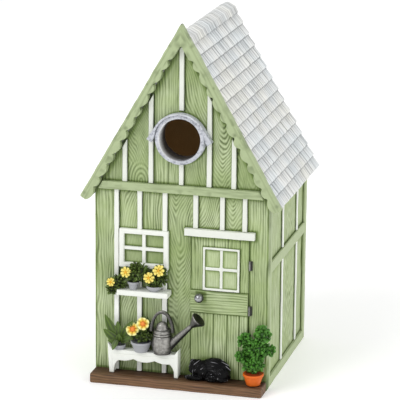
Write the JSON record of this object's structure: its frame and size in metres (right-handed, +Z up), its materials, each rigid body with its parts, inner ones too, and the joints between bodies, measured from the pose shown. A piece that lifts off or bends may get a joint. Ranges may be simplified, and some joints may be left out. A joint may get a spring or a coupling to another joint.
{
  "type": "birdhouse",
  "caption": "Cottage birdhouse with a shingled gable roof, round entrance, a front porch with bench, flowers and sleeping cat, a hinged clean-out hatch and a keyhole hanger.",
  "frame": {"origin": "middle of the underside of the whole part", "axes": "+Z up, the porch faces -Y, +X to the viewer's right"},
  "size_m": [0.139, 0.1396, 0.25],
  "materials": {
    "wall_green": "painted cast resin with a carved wood grain",
    "trim_green": "painted cast resin",
    "trim_white": "painted cast resin",
    "porch_brown": "painted cast resin with a streaked wood grain",
    "shingle_white": "whitewashed cast resin shingles",
    "ring_grey": "painted cast resin",
    "pot_grey": "painted cast resin",
    "terracotta": "painted cast resin",
    "foliage_green": "painted cast resin",
    "flower_yellow": "painted cast resin",
    "pewter": "metallic paint on cast resin",
    "cat_black": "painted cast resin",
    "steel": "brushed"
  },
  "bodies": {
    "house": {"back_wall": "wall_green", "back_wall_screws": "steel", "bench_apron": "trim_white", "bench_ends": "trim_white", "bench_flowers": "flower_yellow", "bench_foliage": "foliage_green", "bench_pots": "pot_grey", "bench_seat": "trim_white", "cross_beam": "trim_green", "door_boards": "wall_green", "door_hinges": "pewter", "door_knob": "pewter", "door_lintel": "trim_white", "door_rail": "wall_green", "door_window_bars": "trim_white", "door_window_frame": "trim_white", "entrance_hood": "ring_grey", "entrance_ring": "ring_grey", "floor_panel": "wall_green", "flower_shelf": "trim_white", "front_wall": "wall_green", "gable_battens": "trim_white", "hatch_fixed_leaves": "steel", "hatch_pins": "steel", "hosta_leaves": "foliage_green", "keyhole_plate": "steel", "left_bargeboard": "trim_green", "left_roof_panel": "wall_green", "left_shingle_courses": "shingle_white", "left_side_battens": "trim_white", "left_side_panel": "wall_green", "left_side_posts": "trim_green", "left_side_rails": "trim_green", "lower_battens": "trim_white", "porch_step": "porch_brown", "ridge_cap": "shingle_white", "right_bargeboard": "trim_green", "right_roof_panel": "wall_green", "right_shingle_courses": "shingle_white", "right_side_battens": "trim_white", "right_side_panel": "wall_green", "right_side_posts": "trim_green", "right_side_rails": "trim_green", "shelf_flowers": "flower_yellow", "shelf_foliage": "foliage_green", "shelf_pots": "pot_grey", "shrub": "foliage_green", "sleeping_cat": "cat_black", "terracotta_pot": "terracotta", "turn_button_screw": "steel", "watering_can_body": "pewter", "watering_can_handle": "pewter", "watering_can_spout": "pewter", "window_bars": "trim_white", "window_frame": "trim_white"},
    "hatch": {"rear_hatch": "wall_green", "hatch_moving_leaves": "steel", "hatch_leaf_screws": "steel"},
    "turn_button": {"turn_button": "steel"}
  },
  "joints": [
    {"name": "hatch_hinge", "type": "hinge", "parent": "house", "child": "hatch", "pos_m": [-0.0314, 0.06585, 0.057], "axis": [0, 0, 1], "range_deg": [0, 110]},
    {"name": "turn_button_pivot", "type": "hinge", "parent": "house", "child": "turn_button", "pos_m": [0.0373, 0.0653, 0.057], "axis": [0, 1, 0], "range_deg": [0, 90]}
  ]
}
